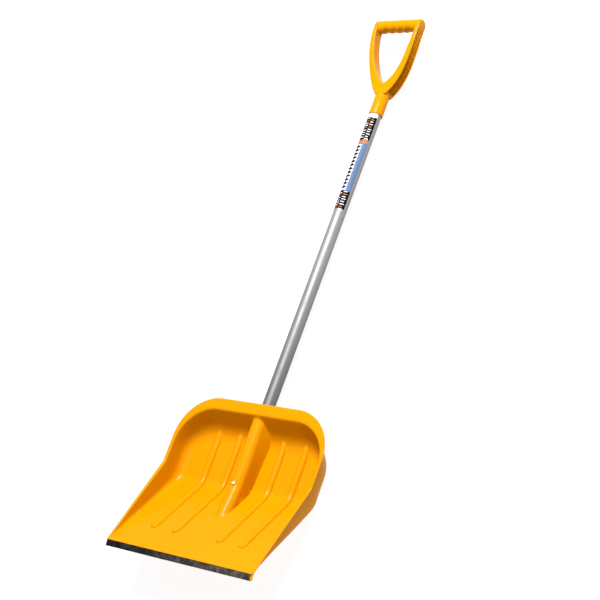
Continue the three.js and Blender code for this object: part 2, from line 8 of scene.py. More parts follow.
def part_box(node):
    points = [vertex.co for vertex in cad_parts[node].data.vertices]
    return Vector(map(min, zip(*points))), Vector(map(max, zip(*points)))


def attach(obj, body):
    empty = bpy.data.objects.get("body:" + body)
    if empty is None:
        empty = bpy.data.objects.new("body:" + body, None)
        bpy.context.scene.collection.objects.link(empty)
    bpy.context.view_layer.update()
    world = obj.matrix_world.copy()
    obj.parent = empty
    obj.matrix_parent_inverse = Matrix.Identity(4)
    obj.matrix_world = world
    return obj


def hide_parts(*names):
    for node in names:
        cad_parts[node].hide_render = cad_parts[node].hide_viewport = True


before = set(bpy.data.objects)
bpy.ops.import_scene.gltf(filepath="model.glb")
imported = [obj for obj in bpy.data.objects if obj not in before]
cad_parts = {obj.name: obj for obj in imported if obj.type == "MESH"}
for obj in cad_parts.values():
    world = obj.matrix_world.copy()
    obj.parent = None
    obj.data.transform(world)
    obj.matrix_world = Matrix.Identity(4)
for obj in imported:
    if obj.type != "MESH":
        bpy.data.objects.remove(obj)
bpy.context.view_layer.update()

# Working axes, in millimetres: X across the scoop, Y along the shaft towards the grip, Z up out of
# the scoop's open side, with the shaft's centre line on X = Z = 0 and the floor's crease at Y = 0.
MM = 0.001
SHAFT_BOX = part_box("shaft")
SCOOP_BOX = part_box("scoop")
GRIP_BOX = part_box("grip")
LABEL_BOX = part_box("shaft_label")
STRIP_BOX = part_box("wear_strip")

# ---- sizes in millimetres: the CAD model's, except where a comment says otherwise ------------------
RIM_OUTER_Y = 177
ORIGIN = Vector((
    (SHAFT_BOX[0][0] + SHAFT_BOX[1][0]) / 2,
    SCOOP_BOX[1][1] - RIM_OUTER_Y * MM,
    (SHAFT_BOX[0][2] + SHAFT_BOX[1][2]) / 2,
))
GAP = 0.3  # clearance between touching pieces

SHAFT_RADIUS = (SHAFT_BOX[1][2] - SHAFT_BOX[0][2]) / 2 / MM
SHAFT_WALL = 1.6
SHAFT_EDGE = 0.4
SHAFT_START = (SHAFT_BOX[0][1] - ORIGIN.y) / MM
SHAFT_END = (SHAFT_BOX[1][1] - ORIGIN.y) / MM

FLOOR_DEPTH = 22.5  # rear floor below the shaft's centre line
FRONT_SLOPE = math.radians(35.5)
FRONT_LENGTH = 223
CREASE_BLEND = 17
# rows up the front floor, as distances (from, to, steps): close together at the ribs' ends and at
# the hump's tip
FRONT_ROWS = [
    (FRONT_LENGTH - 8, 168, 9), (165, 150, 7), (144, 106, 7), (102, 62, 20), (58, CREASE_BLEND + 4, 8),
]
WALL = 3
POLE_X = 126  # where the lines round a rear corner start
POLE_Y = 58
BASE_RADIUS = 60  # from the pole to the foot of the wall
RIM_HEIGHT = 28.3
RIM_INNER_X = 189.5
RIM_INNER_Y = 152.7
RIM_INNER_RADIUS = 85
RIM_OUTER_X = (SCOOP_BOX[1][0] - SCOOP_BOX[0][0]) / 2 / MM
RIM_OUTER_RADIUS = 95
RIM_KINK_Y = 20  # the rim is level behind this and runs down to the lip before it
FRONT_INNER_X = 187.6
FRONT_OUTER_X = 190.5
FRONT_BASE_INSET = 1.5
FLOOR_FILLET = 22  # between floor and side wall at the rear; the CAD has 14 there and at the front
FRONT_FILLET = 8
REAR_FILLET = 24
EDGE_FILLET = 4
FILLET_SHARE = 0.45  # most of a straight that a fillet takes
RIM_SHARE = 0.6
EDGE_BULGE = 0.3  # of the sheet's thickness, where its two faces meet
BORE_OVERRUN = 5
MARK_PLACE = (-76, 95)  # small round moulding mark on the floor, not in the CAD
MARK_RADIUS = 3
MARK_HEIGHT = 1.2

LIP_DROP = math.radians(8)
LIP_LENGTH = 12.6
LIP_ROWS = [LIP_LENGTH, 12.2, 8.6, 4.9, 1.35, 1.15, 0.95, 0.8]
LIP_BEND = 4  # of the front floor
LIP_REBATE = 1.5
LIP_THICKNESS = 3.9
REBATE_START = 1.2
STRIP_START = 1.5
STRIP_UNDER_START = 3.2
STRIP_LENGTH = 14.4
STRIP_SHEET = 1.2
STRIP_BENDS = [0.2, 0.5, 0.5, 0.2, 0.2, 1.4, 1.2, 0.3]
STRIP_WORN = 3  # how far the worn edge reaches back
STRIP_DENTS = [(0.25, 0.03, 0), (0.12, 0.2, 3)]  # depth, pace across the scoop, row of the noise
RIVET_ALONG = 7.6
RIVET_X = [-168, -84, 0, 84, 168]
RIVET_HEAD_RADIUS = 3.4
RIVET_HEAD_HEIGHT = 1.1
RIVET_RADIUS = 1.6
RIVET_END = -1.9
RIVET_DOME = (0.25, math.pi / 2)  # turn along the head's curve, in radians

# the CAD's ribs are 7 wide on each side and 3.6 high, and have a flat floor below
RIB_X = [58, 116]
RIB_HALF_WIDTH = 8.5
RIB_HEIGHT = 6.5
RIB_HOLLOW = 0.8  # of its height
RIB_ROUNDNESS = 0.55
RIB_FRONT = -133
RIB_REAR = 118
RIB_REAR_FADE = 3 * RIB_HALF_WIDTH

HUMP_CREST = 21.8
HUMP_CREST_RISE = 0.125
HUMP_RADIUS = 17
HUMP_FLANK_X = 16.2
HUMP_BASE_X = 17.3
HUMP_BASE_SPREAD = 7.5
HUMP_SPREAD_Y = 100
HUMP_SPREAD_MOST = 1.2
HUMP_SPREAD_POWER = 1.5
HUMP_FILLET = 3
HUMP_REACH_X = 40  # nothing of the hump lies outside this
HUMP_REACH_Y = RIM_INNER_Y - 2  # or behind this
HUMP_LINES = [(0, 13, 6), (13.8, 17.8, 8), (18.6, 29, 13)]  # across each half, as (from, to, steps)
HUMP_TO_RIB = [33, 38, 44]
RIB_TO_RIB = [74, 84, 94, 102]
HUMP_SKIN = 2.4
HUMP_ROOF = 6
SOCKET_RADIUS = 16.4
SOCKET_START = -26
SOCKET_END = 128

SCREW_Y = 3
SCREW_LENGTH = 13
GRIP_SCREW_Y = 936
GRIP_SCREW_LENGTH = 8
SCREW_HEAD_RADIUS = 4.6
SCREW_HEAD_HEIGHT = 2.4
SCREW_HEAD_SIDE = 0.7  # height of the head's upright side
SCREW_HEAD_EDGE = 0.2
SCREW_DOME = (0, 1.35)  # turn along the head's curve, in radians
SCREW_RADIUS = 2.2
SCREW_TIP_RADIUS = 0.9
SCREW_TAPER = 2
RECESS = (5.0, 1.0, 2.4)  # box cut twice into the head for its cross
RECESS_CENTRE = SCREW_HEAD_HEIGHT + 0.1
RECESS_TURN = 0.35

COLLAR_START = (GRIP_BOX[0][1] - ORIGIN.y) / MM
COLLAR_END = COLLAR_START + 60
COLLAR_RADIUS = 16.4
COLLAR_PROFILE = [  # closed end of the bore, its mouth, the outside and the shoulder
    (0, SHAFT_END + GAP),
    (SHAFT_RADIUS + GAP, SHAFT_END + GAP),
    (SHAFT_RADIUS + GAP, COLLAR_START + 0.8),
    (SHAFT_RADIUS + GAP + 0.5, COLLAR_START),
    (COLLAR_RADIUS - 0.6, COLLAR_START),
    (COLLAR_RADIUS, COLLAR_START + 0.7),
    (COLLAR_RADIUS, COLLAR_END + 2),
    (COLLAR_RADIUS - 1.2, COLLAR_END + 6),
    (COLLAR_RADIUS - 4, COLLAR_END + 8),
    (0, COLLAR_END + 8),
]
GRIP_BEND_START = 950
GRIP_BEND_END = 1125
GRIP_FORWARD = 29
GRIP_DEPTH = 30
GRIP_TOP_DEPTH = 28
GRIP_TAPER_START = 1030
GRIP_CROTCH_Y = 980
GRIP_HALF_WIDTH = (GRIP_BOX[1][0] - GRIP_BOX[0][0]) / 2 / MM
CROSSBAR_RADIUS = 15.2
CROSSBAR_Y = (GRIP_BOX[1][1] - ORIGIN.y) / MM - CROSSBAR_RADIUS
CROSSBAR_EDGE = 5
FINGER_PITCH = 20
FINGER_COUNT = 4
FINGER_DEPTH = 2.6  # the CAD has 2.4
FINGER_ROUNDING = 1.3

# control points of each arm's outer and inner outline, as X and Y
ARM_START = COLLAR_END - 8
ARM_END = CROSSBAR_Y + 4
OUTER_OUTLINE = [
    (14, ARM_START), (34, COLLAR_END + 13), (64, CROSSBAR_Y - 88), (GRIP_HALF_WIDTH - 1, ARM_END),
]
INNER_OUTLINE = [
    (0.6, GRIP_CROTCH_Y), (25, GRIP_CROTCH_Y + 16), (48, GRIP_CROTCH_Y + 62), (52, CROSSBAR_Y - 6),
]
ARM_OVERLAP = 1.5  # the arms cross the middle by this below the crotch
ARM_CORNER = 2.0
ARM_CORNER_SHARE = 0.3  # of the arm's width, at most
ARM_CROWN = 0.5

# ridged pocket in each arm's outer side, not in the CAD; along_depth runs from -1 (back) to 1 (front)
POCKET_MIN_WIDTH = 8
POCKET_START = COLLAR_END - 3
POCKET_END = CROSSBAR_Y - 14
POCKET_RUN_IN = 4
POCKET_EDGE = 0.88
POCKET_DEPTH = 4.6
POCKET_TOP_DEPTH = 3.0
POCKET_TAPER = 40
RIDGE_PLACES = (-0.45, 0, 0.45)
RIDGE_FOOT = 0.096  # half the width at its foot
RIDGE_SIDE = 0.06
CROSS_WALL_Y = (1052, 1074, 1094)
CROSS_WALL_FOOT = 1.62
CROSS_WALL_SIDE = 0.9
RIDGE_SHARE = 0.8  # of the pocket's depth

# round mark of the moulding's gate on the left arm's front face, not in the CAD
GATE_PLACE = (-45, 1028)
GATE_PROFILE = [(0, -1), (1.6, -1), (1.6, 0.3), (1.1, 0.7), (0, 0.7)]

LABEL_START = (LABEL_BOX[0][1] - ORIGIN.y) / MM - 6  # 6 below the CAD's, as in the photograph
LABEL_END = (LABEL_BOX[1][1] - ORIGIN.y) / MM
LABEL_THICKNESS = 0.3
LABEL_MIDDLE = math.radians(93)  # round the shaft, from +X towards +Z
LABEL_HALF_ANGLE = math.radians(66)
LABEL_CELLS = (60, 270)  # small faces round it and along it

# the label's print, as distances from its top end and fractions of its width
PRINT_HEM = 0.8
PRINT_MARGIN = 10
BLOCK_START = 7  # of the bars' pattern
BLOCK_END = 69
BLOCK_BARS = "wwowwowwww"  # ink of each bar in turn, white or orange
BLOCK_GAP = 0.58  # between the two columns of bars
BAND_FULL = 72  # the orange band is full width from here
BAND_END = 78  # and the blue field starts here
BAND_SPLIT = 0.5
PANEL = (82, 199)
PANEL_ACROSS = (0.10, 0.64)
FIELD_END = 202
DIAMONDS = (84, 196)
DIAMOND_PITCH = 9.4
DIAMOND_ACROSS = 0.38
DIAMOND_HALF_WIDTH = 0.27
DIAMOND_HALF_HEIGHT = 4.7
LOWER_BLOCK_START = 200
LOWER_BARS = "wwoww"
LOWER_GAP = 0.52
BAR_PITCH = 6.2
BAR_HEIGHT = 1.9
BAR_GAP = 0.05
BAR_ENDS = (0.24, 0.88)
BAR_STEPS = (0.06, 0.05)  # by which those ends wander from bar to bar


# edges that turn by more than this, in degrees, are shaded sharp
SCOOP_SHARP = 38
TUBE_SHARP = 30
TURNED_SHARP = 35
LOFT_SHARP = 40


# ---- helpers ---------------------------------------------------------------------------------------
def mix(a, b, t):
    return a + (b - a) * t


def clamp(value, low, high):
    return max(low, min(high, value))


def steps(start, end, count):
    return [mix(start, end, i / count) for i in range(count + 1)]


def place(point):
    """A point of the working axes in the frame, in metres."""
    return ORIGIN + Vector(point) * MM


def corner_curve(a, b, c, t):
    """Point of a curve that leaves a towards the corner b and arrives at c."""
    return tuple((1 - t) ** 2 * p + 2 * t * (1 - t) * q + t**2 * r for p, q, r in zip(a, b, c))


def bezier(a, b, c, d, t):
    s = 1 - t
    return tuple(
        s**3 * p + 3 * s * s * t * q + 3 * s * t * t * r + t**3 * w for p, q, r, w in zip(a, b, c, d)
    )


def blend_up(a, b, size):
    """Larger of two heights, with a fillet of about the given size where they cross."""
    overlap = max(size - abs(a - b), 0)
    return max(a, b) + overlap * overlap / (4 * size)


def new_object(name, points, faces, smooth_angle=None):
    """Object from points in the working axes."""
    mesh = bpy.data.meshes.new(name)
    mesh.from_pydata([place(p) for p in points], [], faces)
    mesh.validate()
    mesh.update()
    obj = bpy.data.objects.new(name, mesh)
    bpy.context.scene.collection.objects.link(obj)
    shade(obj, smooth_angle)
    return obj


def shade(obj, smooth_angle=None):
    """Smooth shading, with sharp edges where faces meet at more than an angle in degrees."""
    obj.data.shade_smooth()
    if smooth_angle is not None:
        obj.data.set_sharp_from_angle(angle=math.radians(smooth_angle))


def boolean(obj, tool, operation):
    """Joins or cuts with another object, which is used up."""
    modifier = obj.modifiers.new("join", "BOOLEAN")
    modifier.operation = operation
    modifier.solver = "EXACT"
    modifier.object = tool
    bpy.context.view_layer.update()
    graph = bpy.context.evaluated_depsgraph_get()
    mesh = bpy.data.meshes.new_from_object(obj.evaluated_get(graph))
    obj.modifiers.clear()
    old = obj.data
    obj.data = mesh
    bpy.data.meshes.remove(old)
    mesh.name = obj.name
    bpy.data.objects.remove(tool)


def lathe(name, profile, sides, axis="Y", centre=(0, 0, 0), smooth_angle=TURNED_SHARP):
    """Solid of revolution about Y or Z; its (radius, height) pairs end on the axis or close up."""
    points = []
    faces = []
    rings = []
    for radius, height in profile:
        if radius == 0:
            rings.append([len(points)])
            points.append((0, 0, height))
            continue
        rings.append(list(range(len(points), len(points) + sides)))
        for k in range(sides):
            angle = 2 * math.pi * k / sides
            points.append((radius * math.cos(angle), radius * math.sin(angle), height))
    for low, high in zip(rings, rings[1:]):
        for k in range(sides):
            corners = ((low, k), (low, k + 1), (high, k + 1), (high, k))
            quad = [ring[i % len(ring)] for ring, i in corners]
            faces.append([v for i, v in enumerate(quad) if v not in quad[:i]])
    if axis == "Y":
        points = [(y, z, x) for x, y, z in points]
    points = [tuple(a + b for a, b in zip(point, centre)) for point in points]
    return new_object(name, points, faces, smooth_angle)


def rod(name, radius, start, end):
    return lathe(name, [(0, start), (radius, start), (radius, end), (0, end)], 72)


def moved(obj, change):
    """Moves each vertex of an object by a function of its place in the working axes."""
    for vertex in obj.data.vertices:
        vertex.co = place(change((vertex.co - ORIGIN) / MM))


# ---- scoop -----------------------------------------------------------------------------------------
SLOPE_ALONG = (-math.cos(FRONT_SLOPE), math.sin(FRONT_SLOPE))
LIP_ALONG = (-math.cos(LIP_DROP), -math.sin(LIP_DROP))
LIP_UP = (-math.sin(LIP_DROP), math.cos(LIP_DROP))
LIP_CORNER = (FRONT_LENGTH * SLOPE_ALONG[0], FRONT_LENGTH * SLOPE_ALONG[1] - FLOOR_DEPTH)
CORNER_STEPS = 16


def on_lip(along, above):
    """Place on the lip, as (Y, Z): along it from its corner, and above its upper face."""
    return tuple(LIP_CORNER[i] + along * LIP_ALONG[i] + above * LIP_UP[i] for i in (0, 1))


def on_front(distance):
    return (distance * SLOPE_ALONG[0], distance * SLOPE_ALONG[1] - FLOOR_DEPTH)


def floor_rows():
    """The floor's middle line from the lip's tip back to the rear corners' centres."""
    rows = [on_lip(along, 0) for along in LIP_ROWS]
    bend_start, bend_end = rows[-1], on_front(FRONT_LENGTH - LIP_BEND)
    rows += [corner_curve(bend_start, LIP_CORNER, bend_end, t) for t in steps(0, 1, 6)[1:]]
    rows += [on_front(distance) for stretch in FRONT_ROWS for distance in steps(*stretch)]
    before, after = on_front(CREASE_BLEND), (CREASE_BLEND, -FLOOR_DEPTH)
    rows += [corner_curve(before, (0, -FLOOR_DEPTH), after, t) for t in steps(0, 1, 10)]
    rows += [(y, -FLOOR_DEPTH) for y in steps(CREASE_BLEND + 5, POLE_Y, 8)]
    return rows


def rim_height(y):
    run = (y - RIM_KINK_Y) / (LIP_CORNER[0] - RIM_KINK_Y)
    return mix(RIM_HEIGHT, LIP_CORNER[1], clamp(run, 0, 1))


def hump_height(x, y, skin, roof):
    """Round crown with steep flanks that spread towards the back wall."""
    radius = HUMP_RADIUS - skin
    flank_x = HUMP_FLANK_X - skin
    spread = clamp(y / HUMP_SPREAD_Y, 0, HUMP_SPREAD_MOST) ** HUMP_SPREAD_POWER
    base_x = HUMP_BASE_X - skin + HUMP_BASE_SPREAD * spread
    centre = HUMP_CREST + HUMP_CREST_RISE * max(-y, 0) - roof - radius
    side = abs(x)
    if side <= flank_x:
        return centre + math.sqrt(radius**2 - side**2)
    shoulder = centre + math.sqrt(radius**2 - flank_x**2)
    return mix(shoulder, -FLOOR_DEPTH, (side - flank_x) / (base_x - flank_x))


def rib_height(x, y):
    across = min(abs(abs(x) - rib_x) for rib_x in RIB_X) / RIB_HALF_WIDTH
    front_end = max(RIB_FRONT + RIB_HALF_WIDTH - y, 0) / RIB_HALF_WIDTH
    rear_end = max(y - (RIB_REAR - RIB_REAR_FADE), 0) / RIB_REAR_FADE
    reach = math.sqrt(across**2 + front_end**2 + rear_end**2)
    return 0 if reach >= 1 else RIB_HEIGHT * (1 - reach**2) ** RIB_ROUNDNESS


def wall_profile(floor_z, rim_z, base, inner, outer, fillet):
    """Profile from the floor's middle region out to the rim, as (outward, Z) pairs."""
    height = max(rim_z - floor_z, 0)
    length = math.hypot(inner - base, height)
    reach = min(fillet, FILLET_SHARE * length)
    along = ((inner - base) / length, height / length)
    edge = min(EDGE_FILLET, FILLET_SHARE * length, RIM_SHARE * (outer - inner))
    top = (inner, floor_z + height)
    foot_in = (base - reach, floor_z)
    foot_up = (base + reach * along[0], floor_z + reach * along[1])
    edge_down = (inner - edge * along[0], top[1] - edge * along[1])
    edge_out = (inner + edge, top[1])
    profile = [(o, floor_z) for o in steps(0, base - reach, 8)[:-1]]
    profile += [corner_curve(foot_in, (base, floor_z), foot_up, t) for t in steps(0, 1, 9)]
    profile += [tuple(mix(p, q, t) for p, q in zip(foot_up, edge_down)) for t in steps(0, 1, 7)[1:-1]]
    profile += [corner_curve(edge_down, top, edge_out, t) for t in steps(0, 1, 6)]
    profile += [(o, top[1]) for o in steps(edge_out[0], outer, 4)[1:]]
    return profile


def reach_outline(angle, straight_x, straight_y, radius):
    """Distance from the rear corner's pole to a rounded outline."""
    direction = Vector((math.cos(angle), math.sin(angle)))
    centre = Vector((straight_x - radius - POLE_X, straight_y - radius - POLE_Y))
    along = centre.dot(direction)
    on_arc = along + math.sqrt(max(radius**2 - (centre.length_squared - along**2), 0))
    spot = direction * on_arc - centre
    if spot.x >= 0 and spot.y >= 0:
        return on_arc
    return (straight_y - POLE_Y) / direction.y if spot.x < 0 else (straight_x - POLE_X) / direction.x


def outline_y(x, straight_x, straight_y, radius):
    """Y of a rounded outline over the place x, behind the rear corners' poles."""
    beyond = max(abs(x) - (straight_x - radius), 0)
    return straight_y - radius + math.sqrt(radius**2 - beyond**2)


def side_profile(y, z):
    run = clamp((y - LIP_CORNER[0]) / (RIM_KINK_Y - LIP_CORNER[0]), 0, 1)
    inner = mix(FRONT_INNER_X, RIM_INNER_X, run) - POLE_X
    outer = mix(FRONT_OUTER_X, RIM_OUTER_X, run) - POLE_X
    rim_z = z if y < LIP_CORNER[0] else max(rim_height(y), z)
    fillet = mix(FRONT_FILLET, FLOOR_FILLET, run**3)
    base = mix(inner - FRONT_BASE_INSET, BASE_RADIUS, run)
    return wall_profile(z, rim_z, base, inner, outer, fillet)


def corner_profile(angle):
    inner = reach_outline(angle, RIM_INNER_X, RIM_INNER_Y, RIM_INNER_RADIUS)
    outer = reach_outline(angle, RIM_OUTER_X, RIM_OUTER_Y, RIM_OUTER_RADIUS)
    fillet = mix(FLOOR_FILLET, REAR_FILLET, math.sin(angle) ** 2)
    return wall_profile(-FLOOR_DEPTH, RIM_HEIGHT, BASE_RADIUS, inner, outer, fillet)


def back_profile(x):
    inner = outline_y(x, RIM_INNER_X, RIM_INNER_Y, RIM_INNER_RADIUS) - POLE_Y
    outer = outline_y(x, RIM_OUTER_X, RIM_OUTER_Y, RIM_OUTER_RADIUS) - POLE_Y
    return wall_profile(-FLOOR_DEPTH, RIM_HEIGHT, BASE_RADIUS, inner, outer, REAR_FILLET)


def sweep_columns(rows, across_x):
    """Columns round the scoop from the left lip to the right lip, each from the floor to the rim."""
    def side(sign, row):
        y, z = row
        return [(sign * (POLE_X + o), y, h) for o, h in side_profile(y, z)]

    def corner(sign, step):
        angle = step * math.pi / 2 / CORNER_STEPS
        c, s = math.cos(angle), math.sin(angle)
        return [(sign * (POLE_X + o * c), POLE_Y + o * s, h) for o, h in corner_profile(angle)]

    columns = [side(-1, row) for row in rows]
    columns += [corner(-1, step) for step in range(1, CORNER_STEPS)]
    columns += [[(x, POLE_Y + o, h) for o, h in back_profile(x)] for x in across_x]
    columns += [corner(1, step) for step in range(CORNER_STEPS - 1, 0, -1)]
    columns += [side(1, row) for row in reversed(rows)]
    return columns


def lines_across():
    """Lines that run along the scoop: close together over the hump's flanks and the ribs."""
    turns = steps(-math.pi / 2, math.pi / 2, 14)
    near, far = ([rib_x + RIB_HALF_WIDTH * math.sin(turn) for turn in turns] for rib_x in RIB_X)
    half = [x for stretch in HUMP_LINES for x in steps(*stretch)]
    half += HUMP_TO_RIB + near + RIB_TO_RIB + far + [POLE_X]
    return [-x for x in reversed(half[1:])] + half


def upper_point(point, lip_row):
    """Upper face: the sheet with the strip's rebate, the ribs and the hump."""
    x, y, z = point
    if lip_row:
        return (x, y - LIP_REBATE * LIP_UP[0], z - LIP_REBATE * LIP_UP[1])
    if abs(x) < POLE_X:
        z += rib_height(x, y)
    if abs(x) < HUMP_REACH_X and y < HUMP_REACH_Y:
        z = blend_up(z, hump_height(x, y, 0, 0), HUMP_FILLET)
    from_mark = math.hypot(x - MARK_PLACE[0], y - MARK_PLACE[1])
    return (x, y, z + MARK_HEIGHT * max(0, 1 - (from_mark / MARK_RADIUS) ** 2))


def lower_point(point, normal, on_lip_face):
    """Lower face: the sheet moved down by the wall, hollow under the ribs and the hump."""
    x, y, z = point
    if on_lip_face:
        return (x, y - LIP_THICKNESS * LIP_UP[0], z - LIP_THICKNESS * LIP_UP[1])
    x, y, z = (p - WALL * n for p, n in zip(point, normal))
    if abs(x) < POLE_X:
        z += RIB_HOLLOW * rib_height(x, y)
    if abs(x) < HUMP_REACH_X and y < HUMP_REACH_Y:
        z = blend_up(z, hump_height(x, y, HUMP_SKIN, HUMP_ROOF), HUMP_FILLET)
    return (x, y, z)


def sheet_faces(add):
    """Faces of the scoop's sheet, whose points go to add, and its outline in order."""
    rows = floor_rows()
    across_x = lines_across()
    floor = [[add((x, y, z)) for x in across_x] for y, z in rows]
    left_pole, right_pole = floor[-1][0], floor[-1][-1]
    columns = sweep_columns(rows, across_x)
    firsts = [line[0] for line in floor] + [left_pole] * (CORNER_STEPS - 1) + floor[-1]
    firsts += [right_pole] * (CORNER_STEPS - 1) + [line[-1] for line in reversed(floor)]
    rings = [[first] + [add(p) for p in column[1:]] for first, column in zip(firsts, columns)]

    faces = []
    for near, far in zip(floor, floor[1:]):
        for i in range(len(across_x) - 1):
            faces.append((near[i], near[i + 1], far[i + 1], far[i]))
    for ring, following in zip(rings, rings[1:]):
        for k in range(len(ring) - 1):
            quad = (ring[k], following[k], following[k + 1], ring[k + 1])
            faces.append(quad if quad[0] != quad[1] else quad[1:])
    # round the rim from left to right, down the right end, back along the lip and up the left end
    outline = [ring[-1] for ring in rings] + rings[-1][-2::-1] + floor[0][-2::-1] + rings[0][1:-1]
    return faces, outline


def sheet_normals(points, faces):
    sheet = bpy.data.meshes.new("sheet")
    sheet.from_pydata(points, [], faces)
    sheet.update()
    normals = [v.normal.copy() for v in sheet.vertices]
    bpy.data.meshes.remove(sheet)
    return normals


def scoop_shell():
    """Closed moulding: the sheet's upper and lower faces, joined by a bulging edge."""
    points = []

    def add(point):
        points.append(point)
        return len(points) - 1

    faces, outline = sheet_faces(add)
    rebate_end = on_lip(REBATE_START, 0)[0]
    lip_face_end = on_lip(0, 0)[0]
    upper = [upper_point(p, p[1] < rebate_end) for p in points]
    normals = sheet_normals(points, faces)
    lower = [lower_point(p, n, p[1] < lip_face_end) for p, n in zip(points, normals)]
    count = len(points)
    solid_points = upper + lower
    solid_faces = faces + [tuple(v + count for v in reversed(face)) for face in faces]
    middles = []
    for k, index in enumerate(outline):
        before, after = Vector(upper[outline[k - 1]]), Vector(upper[outline[(k + 1) % len(outline)]])
        down = Vector(lower[index]) - Vector(upper[index])
        out = (after - before).cross(down).normalized()
        ring = []
        for turn in steps(0, math.pi, 6)[1:-1]:
            centre = Vector(upper[index]) + down * (0.5 - 0.5 * math.cos(turn))
            solid_points.append(tuple(centre + out * (EDGE_BULGE * down.length * math.sin(turn))))
            ring.append(len(solid_points) - 1)
        middles.append([index] + ring + [index + count])
    for k, ring in enumerate(middles):
        following = middles[(k + 1) % len(middles)]
        for m in range(len(ring) - 1):
            solid_faces.append((ring[m], following[m], following[m + 1], ring[m + 1]))
    return new_object("scoop_moulding", solid_points, solid_faces)


def make_scoop():
    scoop = scoop_shell()
    socket = rod("socket", SOCKET_RADIUS, SOCKET_START, SOCKET_END)
    boolean(scoop, socket, "UNION")
    bore = rod("bore", SHAFT_RADIUS + GAP, SHAFT_START - GAP, RIM_OUTER_Y + BORE_OVERRUN)
    boolean(scoop, bore, "DIFFERENCE")
    shade(scoop, SCOOP_SHARP)
    return scoop


# ---- grip ------------------------------------------------------------------------------------------
def grip_rise(y):
    run = clamp((y - GRIP_BEND_START) / (GRIP_BEND_END - GRIP_BEND_START), 0, 1)
    return GRIP_FORWARD * (0.5 - 0.5 * math.cos(run * math.pi))


def grip_depth(y):
    run = (y - GRIP_TAPER_START) / (CROSSBAR_Y - GRIP_TAPER_START)
    return mix(GRIP_DEPTH, GRIP_TOP_DEPTH, clamp(run, 0, 1))


def curve_table(a, b, c, d):
    return [bezier(a, b, c, d, t) for t in steps(0, 1, 200)]


def look_up(table, y):
    """x of a curve at the height y, held at its ends."""
    if y <= table[0][1]:
        return table[0][0]
    for (x0, y0), (x1, y1) in zip(table, table[1:]):
        if y <= y1:
            return mix(x0, x1, (y - y0) / max(y1 - y0, 1e-9))
    return table[-1][0]


def pocket_depth(y, along_depth):
    """Depth of the recessed, ridged outer side, at a place from -1 (back edge) to 1 (front edge)."""
    starts = clamp((y - POCKET_START) / POCKET_RUN_IN, 0, 1)
    ends = clamp((POCKET_END - y) / POCKET_RUN_IN, 0, 1)
    edge = clamp((POCKET_EDGE - abs(along_depth)) / RIDGE_SIDE, 0, 1)
    filled = 0
    for ridge_at in RIDGE_PLACES:
        filled = max(filled, clamp((RIDGE_FOOT - abs(along_depth - ridge_at)) / RIDGE_SIDE, 0, 1))
    for wall_y in CROSS_WALL_Y:
        filled = max(filled, clamp((CROSS_WALL_FOOT - abs(y - wall_y)) / CROSS_WALL_SIDE, 0, 1))
    deep = mix(POCKET_DEPTH, POCKET_TOP_DEPTH, clamp((y - GRIP_TAPER_START) / POCKET_TAPER, 0, 1))
    return starts * ends * edge * deep * (1 - RIDGE_SHARE * filled)


def arm_section(y, x_in, x_out, sign):
    """Closed ring round one arm: front face crowned, corners rounded, outer side recessed."""
    half, rise, width = grip_depth(y) / 2, grip_rise(y), x_out - x_in
    radius = min(ARM_CORNER, ARM_CORNER_SHARE * width)
    top = half - ARM_CROWN - radius
    quarter = math.pi / 2
    ring = []

    def add(x, z):
        ring.append((sign * x, y, z + rise))

    def add_corner(x, z, start):
        for turn in steps(start, start - quarter, 5)[:-1]:
            add(x + radius * math.cos(turn), z + radius * math.sin(turn))

    def crowned(t):
        return half - ARM_CROWN * (2 * t - 1) ** 2

    for t in steps(0, 1, 10)[:-1]:
        add(mix(x_in + radius, x_out - radius, t), crowned(t))
    add_corner(x_out - radius, top, quarter)
    for t in steps(1, -1, 64)[:-1]:
        add(x_out - (pocket_depth(y, t) if width > POCKET_MIN_WIDTH else 0), t * top)
    add_corner(x_out - radius, -top, 0)
    for t in steps(1, 0, 10)[:-1]:
        add(mix(x_in + radius, x_out - radius, t), -crowned(t))
    add_corner(x_in + radius, -top, -quarter)
    for t in steps(-1, 1, 8)[:-1]:
        add(x_in, t * top)
    add_corner(x_in + radius, top, 2 * quarter)
    return ring


def loft(name, rings):
    """Closed body through rings with equal counts, capped flat at both ends."""
    count = len(rings[0])
    points = [p for ring in rings for p in ring]
    faces = []
    for r in range(len(rings) - 1):
        for k in range(count):
            a, b = r * count + k, r * count + (k + 1) % count
            faces.append((a, b, b + count, a + count))
    faces.append(tuple(range(count))[::-1])
    faces.append(tuple(range(len(points) - count, len(points))))
    obj = new_object(name, points, faces)
    work = bmesh.new()
    work.from_mesh(obj.data)
    bmesh.ops.recalc_face_normals(work, faces=work.faces)
    work.to_mesh(obj.data)
    work.free()
    shade(obj, LOFT_SHARP)
    return obj


def make_arm(sign):
    outer, inner = curve_table(*OUTER_OUTLINE), curve_table(*INNER_OUTLINE)
    stations = steps(ARM_START, GRIP_CROTCH_Y - 1, 24) + steps(GRIP_CROTCH_Y, GRIP_CROTCH_Y + 8, 18)
    stations += steps(GRIP_CROTCH_Y + 8.5, ARM_END, 250)
    rings = []
    for y in stations:
        x_in = look_up(inner, y) if y >= GRIP_CROTCH_Y else -ARM_OVERLAP
        rings.append(arm_section(y, x_in, look_up(outer, y), sign))
    return loft("arm", rings)


def finger_hollow(x):
    if abs(x) > FINGER_COUNT * FINGER_PITCH / 2:
        return 0
    across = (x % FINGER_PITCH) / (FINGER_PITCH / 2) - 1
    return FINGER_DEPTH * (1 - across**2)


